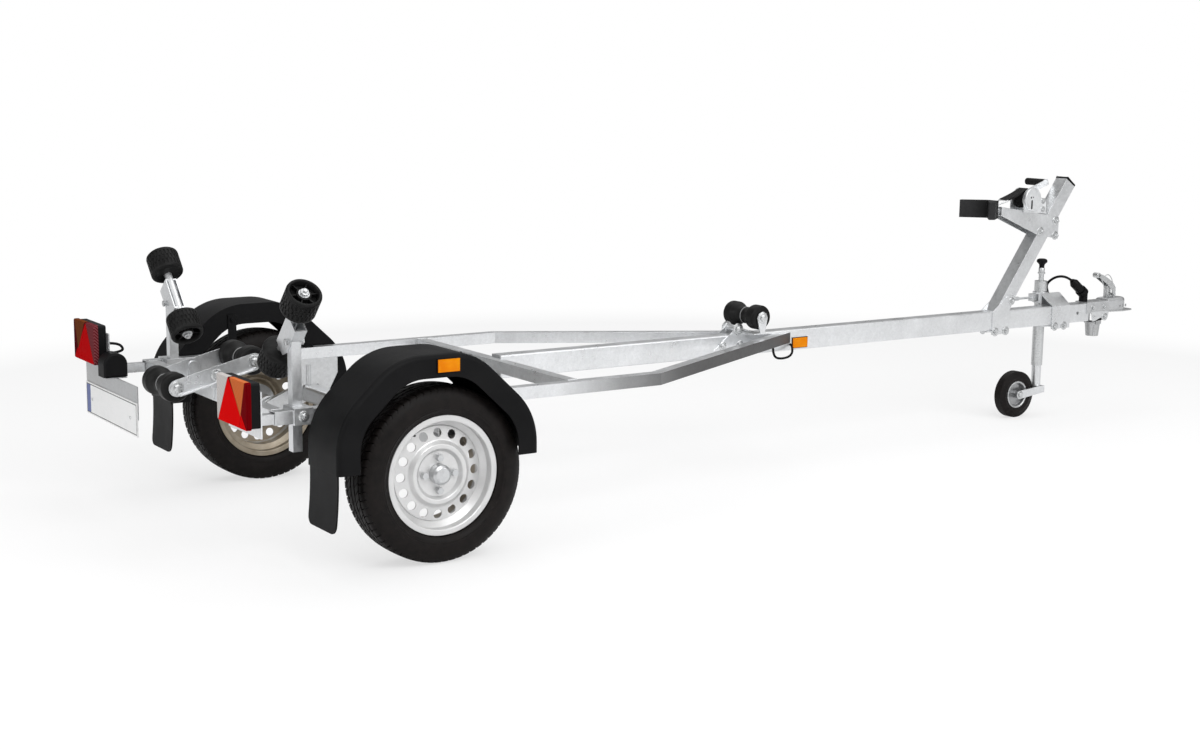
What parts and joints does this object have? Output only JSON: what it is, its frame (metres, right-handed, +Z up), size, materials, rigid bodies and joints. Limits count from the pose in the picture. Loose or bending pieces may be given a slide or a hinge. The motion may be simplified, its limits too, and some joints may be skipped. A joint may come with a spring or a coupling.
{
  "type": "boat trailer",
  "caption": "Single-axle boat trailer with a forked drawbar frame, tilting hull rollers, keel rollers, a winch post with bow stop, a jockey wheel, mudguards and rear lamps.",
  "frame": {"origin": "on the ground, under the middle of the trailer's overall length and width", "axes": "+X forwards to the coupling, +Y left, +Z up"},
  "size_m": [4.492, 1.524, 1.0346],
  "materials": {
    "galvanised": "hot-dip galvanised, matte with a faint spangle",
    "silver_paint": "satin silver",
    "tyre": "matte black rubber",
    "black_rubber": "satin black rubber",
    "black_plastic": "satin black plastic",
    "grey_plastic": "matte grey plastic",
    "white_plastic": "gloss white, blank",
    "red_lens": "clear moulded red lens",
    "amber_lens": "moulded amber reflector",
    "strap": "woven black webbing"
  },
  "bodies": {
    "chassis": {"main_beam": "galvanised", "side_rails": "galvanised", "cross_members": "galvanised", "axle_tube": "galvanised", "axle_brackets": "galvanised", "swing_arms": "galvanised", "mudguards": "black_plastic", "mudflaps": "black_rubber", "guard_stays": "black_plastic", "roller_posts": "galvanised", "post_clamps": "galvanised", "keel_rocker_ears": "galvanised", "keel_roller_bracket": "galvanised", "winch_post": "galvanised", "post_shoe": "galvanised", "bow_arm": "galvanised", "bow_block": "black_rubber", "winch_frame": "galvanised", "jockey_bracket": "galvanised", "coupling_head": "galvanised", "coupling_cup": "galvanised", "coupling_lever": "galvanised", "parked_plug": "black_plastic", "winch_guard": "galvanised", "strap_run": "strap", "strap_hook": "galvanised", "plug_cable": "black_rubber", "frame_cables": "black_rubber", "plate_lamp": "black_plastic", "lamp_bars": "galvanised", "lamp_plates": "galvanised", "lamp_housings": "black_plastic", "lamp_lenses": "red_lens", "plate_holder": "galvanised", "number_plate": "white_plastic", "side_reflectors": "amber_lens"},
    "wheel_left": {"tyre_left": "tyre", "wheel_rim_left": "silver_paint", "wheel_hub_left": "galvanised"},
    "wheel_right": {"tyre_right": "tyre", "wheel_rim_right": "silver_paint", "wheel_hub_right": "galvanised"},
    "rocker_left": {"side_rocker_left": "galvanised"},
    "rocker_right": {"side_rocker_right": "galvanised"},
    "roller_left_outer": {"side_roller_left_outer": "black_rubber"},
    "roller_left_inner": {"side_roller_left_inner": "black_rubber"},
    "roller_right_outer": {"side_roller_right_outer": "black_rubber"},
    "roller_right_inner": {"side_roller_right_inner": "black_rubber"},
    "keel_rocker": {"keel_rocker": "galvanised"},
    "keel_roller_tail": {"keel_roller_tail": "black_rubber"},
    "keel_roller_head": {"keel_roller_head": "black_rubber"},
    "keel_roller_beam": {"keel_roller_beam": "black_rubber"},
    "winch": {"winch_drum": "galvanised", "winch_strap": "strap", "winch_crank": "galvanised"},
    "jockey_leg": {"jockey_tube": "galvanised", "jockey_knob": "black_plastic"},
    "jockey_fork": {"jockey_fork": "galvanised"},
    "jockey_wheel": {"jockey_rim": "grey_plastic", "jockey_tyre": "tyre"}
  },
  "joints": [
    {"name": "wheel_left_spin", "type": "hinge", "parent": "chassis", "child": "wheel_left", "pos_m": [-1.618, 0.65, 0.268], "axis": [0, 1, 0], "continuous": true},
    {"name": "side_rocker_left_tilt", "type": "hinge", "parent": "chassis", "child": "rocker_left", "pos_m": [-1.991, 0.495, 0.668], "axis": [1, 0, 0], "range_deg": [-40, 0]},
    {"name": "side_roller_left_outer_spin", "type": "hinge", "parent": "rocker_left", "child": "roller_left_outer", "pos_m": [-1.991, 0.54716, 0.79121], "axis": [0, 0.6769, 0.7361], "continuous": true},
    {"name": "side_roller_left_inner_spin", "type": "hinge", "parent": "rocker_left", "child": "roller_left_inner", "pos_m": [-1.991, 0.37659, 0.60571], "axis": [0, 0.6769, 0.7361], "continuous": true},
    {"name": "wheel_right_spin", "type": "hinge", "parent": "chassis", "child": "wheel_right", "pos_m": [-1.618, -0.65, 0.268], "axis": [0, 1, 0], "continuous": true},
    {"name": "side_rocker_right_tilt", "type": "hinge", "parent": "chassis", "child": "rocker_right", "pos_m": [-1.991, -0.495, 0.668], "axis": [-1, 0, 0], "range_deg": [-40, 0]},
    {"name": "side_roller_right_outer_spin", "type": "hinge", "parent": "rocker_right", "child": "roller_right_outer", "pos_m": [-1.991, -0.54716, 0.79121], "axis": [0, -0.6769, 0.7361], "continuous": true},
    {"name": "side_roller_right_inner_spin", "type": "hinge", "parent": "rocker_right", "child": "roller_right_inner", "pos_m": [-1.991, -0.37659, 0.60571], "axis": [0, -0.6769, 0.7361], "continuous": true},
    {"name": "keel_rocker_tilt", "type": "hinge", "parent": "chassis", "child": "keel_rocker", "pos_m": [-2.073, 0, 0.518], "axis": [0, 1, 0], "range_deg": [0, 28]},
    {"name": "keel_roller_tail_spin", "type": "hinge", "parent": "keel_rocker", "child": "keel_roller_tail", "pos_m": [-2.19914, 0, 0.48655], "axis": [0, 1, 0], "continuous": true},
    {"name": "keel_roller_head_spin", "type": "hinge", "parent": "keel_rocker", "child": "keel_roller_head", "pos_m": [-1.94686, 0, 0.54945], "axis": [0, 1, 0], "continuous": true},
    {"name": "keel_roller_beam_spin", "type": "hinge", "parent": "chassis", "child": "keel_roller_beam", "pos_m": [0.079, 0, 0.552], "axis": [0, 1, 0], "continuous": true},
    {"name": "winch_turn", "type": "hinge", "parent": "chassis", "child": "winch", "pos_m": [1.555, 0, 0.949], "axis": [0, 1, 0], "continuous": true},
    {"name": "jockey_lift", "type": "slide", "parent": "chassis", "child": "jockey_leg", "axis": [0, 0, 1], "range_m": [0, 0.17]},
    {"name": "jockey_swivel", "type": "hinge", "parent": "jockey_leg", "child": "jockey_fork", "pos_m": [1.754, 0.066, 0.118], "axis": [0, 0, 1], "continuous": true},
    {"name": "jockey_wheel_spin", "type": "hinge", "parent": "jockey_fork", "child": "jockey_wheel", "pos_m": [1.62, 0.066, 0.1], "axis": [0, 1, 0], "continuous": true}
  ]
}
